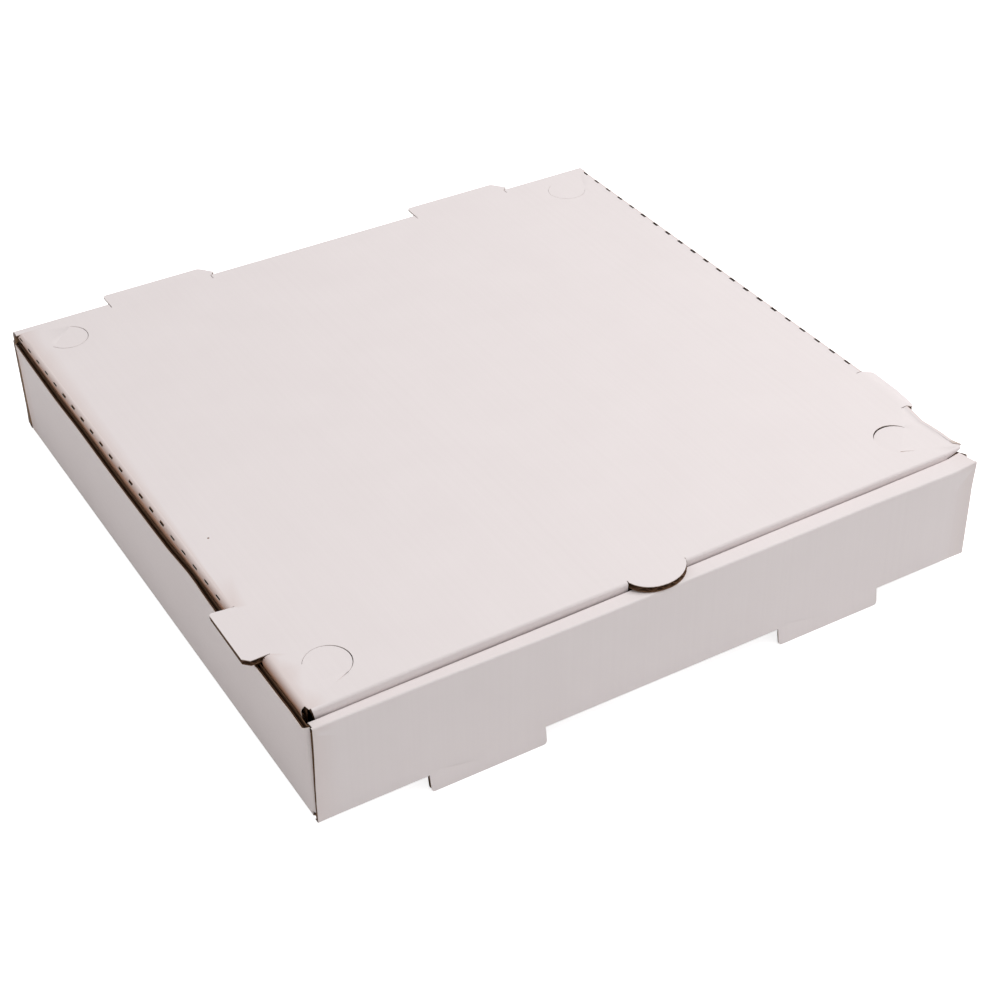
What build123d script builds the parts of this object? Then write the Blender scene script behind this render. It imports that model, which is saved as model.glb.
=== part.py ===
from build123d import *
import math
import os

os.makedirs("parts", exist_ok=True)

# A pizza box folded from one die-cut sheet of single wall corrugated board.
# The sheet is split only at the lid's rear crease, where it turns: the tray is
# the base with its four walls, and the lid carries its own tuck flaps.
# X runs along the front, Y to the rear and Z up, with Z = 0 under the feet.

# Board: thickness, outer radius of a fold, gap between layers that lie loosely
# against each other, width of a die cut, and how far a cutting shape runs past
board = 2.9
fold_radius = 3.4
layer_gap = 0.15
die_cut = 0.4
overrun = 1.0

# Closed box over its outer faces, heights measured from the underside of the base
box_width = 361.4
box_depth = 361.4
front_height = 56.5
side_height = 56.0
lid_height = 61.5

# The side walls stand out at the top, where the lid's side flaps press on them
side_lean = 2.9

# Tabs left in plane where a crease is interrupted: feet in front, ears behind
foot_width = 60.2
foot_offset = 95.7
foot_drop = 8.4
ear_reach = 7.7
tab_corner = 2.0
ear_clearance = 1.0

# Rolled front wall: setback of its top ends, and its locking tabs in the base
roll_end_setback = 0.7
inner_end_setback = 0.3
lock_width = 38.0
lock_offset = 34.0
lock_play = 1.0

# Corner flaps folded from the side walls, behind the front and the rear wall
corner_flap_length = 70.0
corner_flap_taper = 9.0
rear_flap_end_height = 44.0

# Lid: crease setbacks from the tray's outer faces, and its tuck flaps
lid_setback = 8.5
lid_side_overhang = 0.2
hinge_gap = 0.3
tuck_height = 45.0
front_tuck_lean = 10.0
side_tuck_lean = 5.0
front_tuck_inset = 4.2
front_tuck_taper = 12.0
side_tuck_rear_setback = 7.2
side_tuck_taper = 12.0

# Thumb tab at the middle of the lid's front crease
thumb_width = 32.0
thumb_reach = 10.9

# Ears in the lid's side creases, near the front
side_ear_start = 49.8
side_ear_length = 35.7
side_ear_front_corner = 3.0
side_ear_rear_corner = 1.0

# Perforations along the lid's side creases
perforation_count = 21
perforation_pitch = 12.7
perforation_length = 4.6
perforation_width = 0.9
perforation_rear_setback = 10.7

# Half-moon vents cut in the lid near its corners
vent_inset = 23.0
vent_radius = 11.0
vent_slit = 0.5
vent_angle = 214.0

# Heights worked out from the sizes above
base_low = foot_drop
base_high = base_low + board
front_top = base_low + front_height
side_top = base_low + side_height
lid_top = base_low + lid_height
lid_low = lid_top - board
wall_start = base_low + fold_radius

# Places worked out from the sizes above; the whole outline is centred on the origin
half_board = board / 2
path_radius = fold_radius - half_board
half_width = box_width / 2
thumb_overhang = thumb_reach - lid_setback
front_y = (thumb_overhang - box_depth - ear_reach) / 2
rear_y = front_y + box_depth
layer_step = board + layer_gap
inner_panel_y = front_y + 2 * layer_step
lid_front_y = front_y + lid_setback
lid_half = half_width + lid_side_overhang
strip_half = half_width - roll_end_setback
inner_half = half_width - board - inner_end_setback
stub = fold_radius + overrun
sides = (-1, 1)


def along_x(start):
    """Plane facing +X at the given place, for profiles drawn in Y and Z."""
    return Plane.YZ.offset(start)


def facing_front(place):
    """Plane facing -Y at the given place, for profiles drawn in X and Z."""
    return Plane.XZ.offset(-place)


# Base panel, flat between the creases, with the slots for the locking tabs
with BuildPart() as base_panel:
    with BuildSketch(Plane.XY.offset(base_low)):
        with Locations((0, (front_y + rear_y) / 2)):
            Rectangle(box_width - 2 * fold_radius, box_depth - 2 * fold_radius)
        with Locations(*[(side * lock_offset, inner_panel_y + half_board) for side in sides]):
            Rectangle(lock_width + 2 * lock_play, board + 2 * die_cut, mode=Mode.SUBTRACT)
    extrude(amount=board)
    # The side creases start behind the corner flaps
    for side in sides:
        with BuildSketch(facing_front(front_y + layer_step + fold_radius)):
            with BuildLine():
                CenterArc(
                    (side * (half_width - fold_radius), wall_start),
                    path_radius,
                    180 if side < 0 else 270,
                    90,
                )
            trace(line_width=board)
        extrude(amount=-(box_depth - 2 * (layer_step + fold_radius)))

# Front wall: outer panel, roll-over strip and inner panel, folded from one strip
with BuildPart() as front_wall:
    with BuildSketch(along_x(-half_width)):
        with BuildLine():
            FilletPolyline(
                (front_y + stub, base_low + half_board),
                (front_y + half_board, base_low + half_board),
                (front_y + half_board, front_top - half_board),
                (inner_panel_y + half_board, front_top - half_board),
                (inner_panel_y + half_board, base_high + layer_gap),
                radius=path_radius,
            )
        trace(line_width=board)
    extrude(amount=box_width)
    # The strip ends short of the outer panel, and the inner panel between the side walls
    for side in sides:
        with BuildSketch(along_x(side * strip_half)):
            with Locations((front_y + fold_radius, front_top - fold_radius)):
                Rectangle(
                    3 * layer_step + overrun,
                    fold_radius + overrun,
                    align=(Align.MIN, Align.MIN),
                )
        extrude(amount=side * (roll_end_setback + overrun), mode=Mode.SUBTRACT)
        with BuildSketch(along_x(side * inner_half)):
            with Locations((front_y + layer_step, base_high)):
                Rectangle(
                    2 * layer_step + overrun,
                    front_height - 2 * board,
                    align=(Align.MIN, Align.MIN),
                )
        extrude(amount=side * (half_width - inner_half + overrun), mode=Mode.SUBTRACT)
    # Locking tabs of the inner panel, down into the base
    with BuildSketch(facing_front(inner_panel_y)):
        with Locations(*[(side * lock_offset, base_low) for side in sides]):
            Rectangle(
                lock_width,
                board + layer_gap + overrun,
                align=(Align.CENTER, Align.MIN),
            )
    extrude(amount=-board)

# Rear wall, cut along the mitre of the lid's crease, with a notch under each ear
with BuildPart() as rear_wall:
    with BuildSketch(along_x(-half_width)):
        with BuildLine():
            FilletPolyline(
                (rear_y - stub, base_low + half_board),
                (rear_y - half_board, base_low + half_board),
                (rear_y - half_board, lid_top - half_board),
                (rear_y - 2 * fold_radius, lid_top - half_board),
                radius=path_radius,
            )
        trace(line_width=board)
        with BuildLine():
            mitre = rear_y + hinge_gap / math.sqrt(2)
            Polyline(
                (mitre + overrun, lid_top + overrun),
                (mitre - 3 * fold_radius, lid_top - 3 * fold_radius),
                (mitre - 3 * fold_radius, lid_top + overrun),
                close=True,
            )
        make_face(mode=Mode.SUBTRACT)
    extrude(amount=box_width)
    with BuildSketch(facing_front(rear_y + overrun)):
        with Locations(*[(side * foot_offset, lid_top + overrun) for side in sides]):
            Rectangle(
                foot_width + 2 * die_cut,
                ear_reach + ear_clearance + overrun,
                align=(Align.CENTER, Align.MAX),
            )
    extrude(amount=fold_radius + board, mode=Mode.SUBTRACT)


def side_wall_outline(shift):
    """Plan of the right side wall with its two corner folds, moved out by shift."""
    with BuildSketch(mode=Mode.PRIVATE) as outline:
        with BuildLine():
            FilletPolyline(
                (half_width - stub, front_y + layer_step + half_board),
                (half_width - half_board + shift, front_y + layer_step + half_board),
                (half_width - half_board + shift, rear_y - layer_step - half_board),
                (half_width - stub, rear_y - layer_step - half_board),
                radius=path_radius,
            )
        trace(line_width=board)
    return outline.sketch.face()


# Right side wall, leaning out, with its corner flaps folded in behind front and rear
with BuildPart() as side_wall:
    low_outline = side_wall_outline(0).moved(Location((0, 0, wall_start)))
    high_outline = side_wall_outline(side_lean).moved(Location((0, 0, side_top)))
    loft(sections=[low_outline, high_outline], ruled=True)
    # The front corner passes under the roll-over strip
    with BuildSketch(Plane.XY.offset(front_top - board - layer_gap)):
        with Locations((half_width - stub - overrun, front_y)):
            Rectangle(
                stub + overrun - roll_end_setback + layer_gap,
                3 * layer_step + layer_gap,
                align=(Align.MIN, Align.MIN),
            )
    extrude(amount=board + overrun, mode=Mode.SUBTRACT)
    flap_root = half_width - stub + overrun
    flap_end = half_width - corner_flap_length
    with BuildSketch(facing_front(front_y + layer_step)):
        with BuildLine():
            Polyline(
                (flap_root, wall_start),
                (flap_root, front_top - board - layer_gap),
                (flap_end + corner_flap_taper, front_top - board - layer_gap),
                (flap_end, front_top - board - layer_gap - corner_flap_taper),
                (flap_end, wall_start + corner_flap_taper),
                (flap_end + corner_flap_taper, wall_start),
                close=True,
            )
        make_face()
    extrude(amount=-board)
    with BuildSketch(facing_front(rear_y - layer_step - board)):
        with BuildLine():
            Polyline(
                (flap_root, wall_start),
                (flap_root, side_top - half_board),
                (flap_end, base_low + rear_flap_end_height),
                (flap_end, wall_start + corner_flap_taper),
                (flap_end + corner_flap_taper, wall_start),
                close=True,
            )
        make_face()
    extrude(amount=-board)

# Tray: the base with all its walls, one folded piece
with BuildPart() as tray:
    add(base_panel.part)
    add(front_wall.part)
    add(rear_wall.part)
    add(side_wall.part)
    mirror(side_wall.part, about=Plane.YZ)
    # Each foot is cut out of the base and stays in plane with the front wall
    with BuildSketch(Plane.XY.offset(base_low - overrun)):
        with Locations(*[(side * foot_offset, front_y - overrun) for side in sides]):
            Rectangle(
                foot_width + 2 * die_cut,
                foot_drop + die_cut + overrun,
                align=(Align.CENTER, Align.MIN),
            )
    extrude(amount=board + overrun, mode=Mode.SUBTRACT)
    with BuildSketch(facing_front(front_y)):
        with Locations(*[(side * foot_offset, 0) for side in sides]):
            foot_plate = Rectangle(
                foot_width,
                wall_start + overrun,
                align=(Align.CENTER, Align.MIN),
            )
        fillet(foot_plate.vertices().group_by(Axis.Y)[0], radius=tab_corner)
    extrude(amount=-board)

# Lid panel with its two leaning side flaps
with BuildPart() as lid_sides:
    side_slope = math.tan(math.radians(side_tuck_lean))
    side_path_x = lid_half - half_board / math.cos(math.radians(side_tuck_lean)) - half_board * side_slope
    side_foot_x = side_path_x - (tuck_height - half_board) * side_slope
    side_tuck_front = lid_front_y + stub
    side_tuck_rear = rear_y - side_tuck_rear_setback
    with BuildSketch(facing_front(side_tuck_front)):
        with BuildLine():
            FilletPolyline(
                (-side_foot_x, lid_top - tuck_height),
                (-side_path_x, lid_top - half_board),
                (side_path_x, lid_top - half_board),
                (side_foot_x, lid_top - tuck_height),
                radius=path_radius,
            )
        trace(line_width=board)
    extrude(amount=-(side_tuck_rear - side_tuck_front))
    # Both ends of the side flaps are cut on a slant
    with BuildSketch(along_x(-lid_half - overrun)):
        for end, inward in ((side_tuck_front, 1), (side_tuck_rear, -1)):
            with BuildLine():
                Polyline(
                    (end, lid_low - half_board),
                    (end + inward * side_tuck_taper, lid_top - tuck_height - overrun),
                    (end - inward * overrun, lid_top - tuck_height - overrun),
                    (end - inward * overrun, lid_low - half_board),
                    close=True,
                )
            make_face()
    extrude(amount=2 * (lid_half + overrun), mode=Mode.SUBTRACT)

# Lid's front crease and its tuck flap, narrower towards its free edge
with BuildPart() as lid_front:
    front_slope = math.tan(math.radians(front_tuck_lean))
    front_path_y = lid_front_y + half_board * front_slope + half_board / math.cos(math.radians(front_tuck_lean))
    front_foot_y = front_path_y + (tuck_height - half_board) * front_slope
    front_tuck_half = lid_half - front_tuck_inset
    with BuildSketch(along_x(-front_tuck_half)):
        with BuildLine():
            FilletPolyline(
                (lid_front_y + stub, lid_top - half_board),
                (front_path_y, lid_top - half_board),
                (front_foot_y, lid_top - tuck_height),
                radius=path_radius,
            )
        trace(line_width=board)
    extrude(amount=2 * front_tuck_half)
    with BuildSketch(facing_front(lid_front_y - overrun)):
        for side in sides:
            with BuildLine():
                Polyline(
                    (side * front_tuck_half, lid_top - fold_radius),
                    (side * (front_tuck_half - front_tuck_taper), lid_top - tuck_height - overrun),
                    (side * (front_tuck_half + overrun), lid_top - tuck_height - overrun),
                    (side * (front_tuck_half + overrun), lid_top - fold_radius),
                    close=True,
                )
            make_face()
    extrude(amount=-(tuck_height * front_slope + 2 * fold_radius + 2 * overrun), mode=Mode.SUBTRACT)

# Lid's rear edge: its half of the crease above the rear wall, cut along the mitre
with BuildPart() as lid_rear:
    with BuildSketch(along_x(-lid_half)):
        with BuildLine():
            FilletPolyline(
                (side_tuck_rear, lid_top - half_board),
                (rear_y - half_board, lid_top - half_board),
                (rear_y - half_board, lid_top - 2 * fold_radius),
                radius=path_radius,
            )
        trace(line_width=board)
        with BuildLine():
            lid_mitre = rear_y - hinge_gap / math.sqrt(2)
            Polyline(
                (lid_mitre + overrun, lid_top + overrun),
                (lid_mitre - 3 * fold_radius, lid_top - 3 * fold_radius),
                (lid_mitre + overrun, lid_top - 3 * fold_radius),
                close=True,
            )
        make_face(mode=Mode.SUBTRACT)
    extrude(amount=2 * lid_half)

# Lid: one folded piece with its tabs, vents and perforations
with BuildPart() as lid:
    add(lid_sides.part)
    add(lid_front.part)
    add(lid_rear.part)
    # Each tab interrupts the crease it stands on, so its place in the crease is cut out first
    side_ear_front = front_y + side_ear_start
    side_ear_rear = side_ear_front + side_ear_length
    with BuildSketch(Plane.XY.offset(lid_low - fold_radius)):
        with Locations((0, lid_front_y + stub)):
            Rectangle(thumb_width + 2 * die_cut, stub + overrun, align=(Align.CENTER, Align.MAX))
        with Locations(*[(side * foot_offset, rear_y - stub) for side in sides]):
            Rectangle(foot_width + 2 * die_cut, stub + overrun, align=(Align.CENTER, Align.MIN))
        with Locations(*[(side * (lid_half + overrun), (side_ear_front + side_ear_rear) / 2) for side in sides]):
            Rectangle(2 * (stub + overrun), side_ear_length + 2 * die_cut)
    extrude(amount=board + fold_radius + overrun, mode=Mode.SUBTRACT)
    # Half moon that the thumb tab leaves open in the front flap
    thumb_radius = (thumb_width**2 / 4 + thumb_reach**2) / (2 * thumb_reach)
    with BuildSketch(facing_front(lid_front_y - overrun)):
        with Locations((0, lid_top + thumb_radius - thumb_reach)):
            Circle(thumb_radius + die_cut)
        with Locations((0, lid_low)):
            Rectangle(3 * thumb_radius, 3 * thumb_radius, align=(Align.CENTER, Align.MIN), mode=Mode.SUBTRACT)
    extrude(amount=-(fold_radius + board + overrun), mode=Mode.SUBTRACT)
    # Slots that the side ears leave open in the side flaps
    with BuildSketch(Plane.XY.offset(lid_top - ear_reach - die_cut)):
        with Locations(*[(side * (lid_half + overrun), (side_ear_front + side_ear_rear) / 2) for side in sides]):
            Rectangle(2 * (stub + overrun), side_ear_length + 2 * die_cut)
    extrude(amount=ear_reach, mode=Mode.SUBTRACT)
    # Thumb tab, rear ears and side ears, all in plane with the lid
    with BuildSketch(Plane.XY.offset(lid_low)):
        with Locations((0, lid_front_y + thumb_radius - thumb_reach)):
            Circle(thumb_radius)
        with Locations((0, lid_front_y)):
            Rectangle(3 * thumb_radius, 3 * thumb_radius, align=(Align.CENTER, Align.MIN), mode=Mode.SUBTRACT)
        with Locations((0, lid_front_y + stub)):
            Rectangle(thumb_width, stub, align=(Align.CENTER, Align.MAX))
    extrude(amount=board)
    with BuildSketch(Plane.XY.offset(lid_low)):
        with Locations(*[(side * foot_offset, rear_y - stub) for side in sides]):
            ear_plate = Rectangle(foot_width, stub + ear_reach, align=(Align.CENTER, Align.MIN))
        fillet(ear_plate.vertices().group_by(Axis.Y)[-1], radius=tab_corner)
    extrude(amount=board)
    with BuildSketch(Plane.XY.offset(lid_low)):
        for side in sides:
            ear_root = side * (lid_half - stub)
            ear_tip = side * (lid_half + ear_reach)
            with BuildLine():
                Polyline(
                    (ear_root, side_ear_front),
                    (ear_tip - side * side_ear_front_corner, side_ear_front),
                    (ear_tip, side_ear_front + side_ear_front_corner),
                    (ear_tip, side_ear_rear - side_ear_rear_corner),
                    (ear_tip - side * side_ear_rear_corner, side_ear_rear),
                    (ear_root, side_ear_rear),
                    close=True,
                )
            make_face()
    extrude(amount=board)
    # Perforations through the crown of each side crease
    crown = fold_radius - half_board
    crown_offset = crown * math.sin(math.radians(45))
    perforation_first = rear_y - perforation_rear_setback
    for side in sides:
        crown_x = side * (lid_half - fold_radius + crown_offset)
        crown_z = lid_top - fold_radius + crown_offset
        for index in range(perforation_count):
            place = (crown_x, perforation_first - index * perforation_pitch, crown_z)
            with Locations(Location(place, (0, side * 45, 0))):
                Box(perforation_width, perforation_length, board + 2 * die_cut, mode=Mode.SUBTRACT)
    # Half-moon vents, each slit bulging towards the middle of the lid
    with BuildSketch(Plane.XY.offset(lid_low - overrun)):
        for side in sides:
            for centre_y, end in ((lid_front_y + vent_inset, 1), (rear_y - vent_inset, -1)):
                middle = math.degrees(math.atan2(end, -side))
                with BuildLine(mode=Mode.PRIVATE) as slit:
                    CenterArc(
                        (side * (lid_half - vent_inset), centre_y),
                        vent_radius,
                        middle - vent_angle / 2,
                        vent_angle,
                    )
                SlotArc(slit.edge(), height=vent_slit)
    extrude(amount=board + 2 * overrun, mode=Mode.SUBTRACT)

tray.part.label = "tray"
export_step(tray.part, "parts/tray.step")

lid.part.label = "lid"
export_step(lid.part, "parts/lid.step")
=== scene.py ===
"""A white corrugated pizza box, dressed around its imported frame.

The box is one sheet of single wall board: a white outer liner, a fluted core
and a brown inner liner. All three are modelled, so every cut edge shows them.
"""

import logging
import math
from dataclasses import dataclass
from enum import Enum
from typing import Callable, Iterable, Sequence

import bpy
from mathutils import Matrix, Vector


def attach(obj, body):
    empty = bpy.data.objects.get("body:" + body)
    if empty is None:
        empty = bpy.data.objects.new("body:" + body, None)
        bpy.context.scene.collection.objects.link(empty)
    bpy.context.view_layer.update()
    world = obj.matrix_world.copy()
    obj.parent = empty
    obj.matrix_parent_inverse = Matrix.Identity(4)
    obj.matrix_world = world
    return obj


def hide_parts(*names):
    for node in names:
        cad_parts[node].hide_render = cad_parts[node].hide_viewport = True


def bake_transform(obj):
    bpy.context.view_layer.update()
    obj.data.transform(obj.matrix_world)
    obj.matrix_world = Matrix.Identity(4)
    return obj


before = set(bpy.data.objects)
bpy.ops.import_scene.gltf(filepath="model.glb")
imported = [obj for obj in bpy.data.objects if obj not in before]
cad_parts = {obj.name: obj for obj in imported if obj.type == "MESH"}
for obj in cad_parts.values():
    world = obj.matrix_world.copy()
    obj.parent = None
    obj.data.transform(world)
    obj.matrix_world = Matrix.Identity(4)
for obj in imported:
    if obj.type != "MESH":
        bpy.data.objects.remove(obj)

LOG = logging.getLogger("pizza_box")
MM = 0.001
# Added to a limit, so that a place right on it is on the known side.
NEAR = 0.1 * MM
# Places of a colour mix node's sockets, whose names are not unique.
FACTOR, FIRST, SECOND, MIXED = 0, 6, 7, 2
# How far one band of a wave texture reaches at scale 1.
BAND_PERIOD = 0.314
# Vertices closer than this are one.
MERGE = 0.002 * MM
WHITE = (1.0, 1.0, 1.0)
Piece = bpy.types.Object
Node = bpy.types.Node
Rule = Callable[[Vector], Vector]
FaceTest = Callable[[Vector, Vector], bool]
Point = tuple[float, float, float]
Seed = tuple[Point, Point]
Cuts = list[tuple[int, list[float]]]


class Side(Enum):
    """The two sides of the sheet of board."""

    WHITE = "white"
    KRAFT = "kraft"


class Slot(Enum):
    """The finishes that the part's record names."""

    WHITE = "white_board"
    KRAFT = "kraft_board"


@dataclass(frozen=True)
class Sheet:
    """Make-up of the board."""

    thickness: float = 2.9 * MM
    liner: float = 0.35 * MM
    medium: float = 0.25 * MM
    pitch: float = 6.5 * MM
    fold: float = 3.4 * MM


@dataclass(frozen=True)
class Layout:
    """Places of the folded box, with Z = 0 under its feet."""

    half_width: float = 180.7 * MM
    front: float = -183.35 * MM
    rear: float = 178.05 * MM
    base_low: float = 8.4 * MM
    front_top: float = 64.9 * MM
    side_top: float = 64.4 * MM
    side_lean: float = 2.9 * MM
    side_crease: float = 6.0 * MM
    lid_top: float = 69.9 * MM
    lid_half: float = 180.9 * MM
    lid_front: float = -174.85 * MM
    lid_front_crease: float = 3.7 * MM
    tab_offset: float = 95.7 * MM
    tab_half: float = 30.1 * MM
    die_cut: float = 0.4 * MM
    strip_depth: float = 9.0 * MM
    ear_front: float = -133.55 * MM
    ear_rear: float = -97.85 * MM
    hinge_zone: float = 6.5 * MM


BOARD = Sheet()
BOX = Layout()


def object_mode() -> None:
    """Leaves edit mode if it is on."""
    if bpy.context.object and bpy.context.object.mode != "OBJECT":
        bpy.ops.object.mode_set(mode="OBJECT")


def activate(piece: Piece) -> None:
    """Makes a piece the only selected object.

    Args:
        piece: The object that the next operators act on.
    """
    object_mode()
    bpy.ops.object.select_all(action="DESELECT")
    piece.select_set(True)
    bpy.context.view_layer.objects.active = piece


def edit(piece: Piece, mode: str = "FACE", action: str = "SELECT") -> None:
    """Opens a piece in edit mode.

    Args:
        piece: The mesh object to edit.
        mode: VERT, EDGE or FACE.
        action: SELECT or DESELECT, for everything in it.
    """
    activate(piece)
    bpy.ops.object.mode_set(mode="EDIT")
    bpy.ops.mesh.select_mode(type=mode)
    bpy.ops.mesh.select_all(action=action)


def pick_faces(piece: Piece, test: FaceTest) -> int:
    """Opens a piece in edit mode with just some of its faces selected.

    Args:
        piece: The mesh object.
        test: Says yes or no to a face's centre and normal.

    Returns:
        The number of faces that were picked.
    """
    edit(piece, "FACE", "DESELECT")
    object_mode()
    count = 0
    for face in piece.data.polygons:
        face.select = test(face.center, face.normal)
        count += face.select
    bpy.ops.object.mode_set(mode="EDIT")
    return count


def delete_faces(piece: Piece, test: FaceTest) -> None:
    """Deletes the faces of a piece that pass a test.

    Args:
        piece: The mesh object.
        test: Says yes or no to a face's centre and normal.
    """
    if pick_faces(piece, test):
        bpy.ops.mesh.delete(type="FACE")
    object_mode()


def merged_copy(node: str, name: str) -> Piece:
    """Copies a node of the frame and closes its loose triangles to one skin.

    Args:
        node: The name of the node.
        name: The name of the copy.

    Returns:
        The copy, which has no parent.
    """
    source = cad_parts[node]
    copy = bpy.data.objects.new(name, source.data.copy())
    copy.data.materials.clear()
    bpy.context.scene.collection.objects.link(copy)
    edit(copy, "VERT", "SELECT")
    bpy.ops.mesh.remove_doubles(threshold=MERGE)
    object_mode()
    bpy.ops.object.shade_flat()
    return copy


def slice_up(piece: Piece, axis: int, places: Iterable[float]) -> None:
    """Cuts edges across a piece, so that it can be shaped between them.

    Args:
        piece: The mesh object.
        axis: 0, 1 or 2 for planes across X, Y or Z.
        places: Where along the axis the planes stand.
    """
    normal = [0.0, 0.0, 0.0]
    normal[axis] = 1.0
    for place in places:
        spot = [0.0, 0.0, 0.0]
        spot[axis] = place
        edit(piece)
        bpy.ops.mesh.bisect(plane_co=spot, plane_no=normal)
    object_mode()


def steps(start: float, stop: float, count: int) -> list[float]:
    """Returns count places spread evenly from start to stop, ends included."""
    return [start + (stop - start) * index / (count - 1) for index in range(count)]


def flat_grid(columns: int, rows: int, width: float, length: float) -> Piece:
    """Adds a flat grid round the origin.

    Args:
        columns: Its number of faces along X.
        rows: Its number of faces along Y.
        width: Its size along X.
        length: Its size along Y.

    Returns:
        The grid.
    """
    object_mode()
    bpy.ops.object.select_all(action="DESELECT")
    bpy.ops.mesh.primitive_grid_add(x_subdivisions=columns, y_subdivisions=rows, size=1)
    grid = bpy.context.object
    edit(grid)
    bpy.ops.transform.resize(value=(width, length, 1))
    object_mode()
    return grid


def reshape(piece: Piece, rule: Rule) -> None:
    """Moves every vertex of a piece by a rule.

    Args:
        piece: The mesh object.
        rule: Gives a vertex's new place from its old one.
    """
    object_mode()
    for vertex in piece.data.vertices:
        vertex.co = rule(vertex.co)
    piece.data.update()


def solidify(piece: Piece, thickness: float, inside: int = 0) -> None:
    """Gives a surface its thickness, behind its faces.

    Args:
        piece: The mesh object.
        thickness: In metres.
        inside: How many material slots further the back and the rim are.
    """
    activate(piece)
    modifier = piece.modifiers.new("thickness", "SOLIDIFY")
    modifier.thickness = thickness
    modifier.offset = -1
    modifier.material_offset = inside
    modifier.material_offset_rim = inside
    bpy.ops.object.modifier_apply(modifier=modifier.name)


def keep_inside(piece: Piece, solid: Piece) -> None:
    """Trims a closed piece to what lies inside a solid.

    Args:
        piece: The mesh object to trim.
        solid: A closed mesh object.
    """
    activate(piece)
    modifier = piece.modifiers.new("trim", "BOOLEAN")
    modifier.operation = "INTERSECT"
    modifier.solver = "EXACT"
    modifier.object = solid
    bpy.ops.object.modifier_apply(modifier=modifier.name)


def join(pieces: Sequence[Piece], name: str) -> Piece:
    """Joins pieces to one object.

    Args:
        pieces: The mesh objects, at least one.
        name: The name of the joined object.

    Returns:
        The joined object.
    """
    activate(pieces[0])
    for piece in pieces:
        piece.select_set(True)
    if len(pieces) > 1:
        bpy.ops.object.join()
    pieces[0].name = name
    return pieces[0]


def discard(piece: Piece) -> None:
    """Removes a helper object."""
    bpy.data.objects.remove(piece)


def smooth(piece: Piece, angle: float = 35.0) -> None:
    """Shades a piece smooth, except at edges sharper than an angle in degrees."""
    activate(piece)
    bpy.ops.object.shade_smooth_by_angle(angle=math.radians(angle))


def dress(piece: Piece, materials: Sequence[bpy.types.Material]) -> None:
    """Gives a piece its material slots, in order.

    Args:
        piece: The mesh object.
        materials: One for each slot.
    """
    piece.data.materials.clear()
    for material in materials:
        piece.data.materials.append(material)


def store(piece: Piece, name: str, rule: Callable[[Vector], float]) -> None:
    """Stores a value for each vertex, for the finishes to read.

    Args:
        piece: The mesh object, still in its drawn shape.
        name: The name of the value.
        rule: Gives the value from the vertex's place.
    """
    layer = piece.data.attributes.new(name, "FLOAT", "POINT")
    for index, vertex in enumerate(piece.data.vertices):
        layer.data[index].value = rule(vertex.co)


class NodeTree:
    """A node tree, with short ways to add nodes and links to it."""

    def __init__(self, tree: bpy.types.NodeTree) -> None:
        """Keeps the tree and empties it."""
        self.tree = tree
        self.tree.nodes.clear()

    def add(self, kind: str, **settings: object) -> Node:
        """Adds a node and sets its properties.

        Args:
            kind: Blender's name of the node type.
            settings: Property names and values.

        Returns:
            The node.
        """
        node = self.tree.nodes.new(kind)
        for key, value in settings.items():
            setattr(node, key, value)
        return node

    def link(self, source: Node, out: str | int, target: Node, to: str | int) -> None:
        """Links an output of one node to an input of another."""
        self.tree.links.new(source.outputs[out], target.inputs[to])

    def in_view(self) -> Node:
        """Adds a value that is 1 for the camera, mirrors and glass, and 0 for light.

        Returns:
            The node whose Value output holds it.
        """
        rays = self.add("ShaderNodeLightPath")
        seen = self.add("ShaderNodeMath", operation="MAXIMUM")
        clear = self.add("ShaderNodeMath", operation="MAXIMUM")
        self.link(rays, "Is Camera Ray", seen, 0)
        self.link(rays, "Is Glossy Ray", seen, 1)
        self.link(seen, "Value", clear, 0)
        self.link(rays, "Is Transmission Ray", clear, 1)
        return clear


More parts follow.
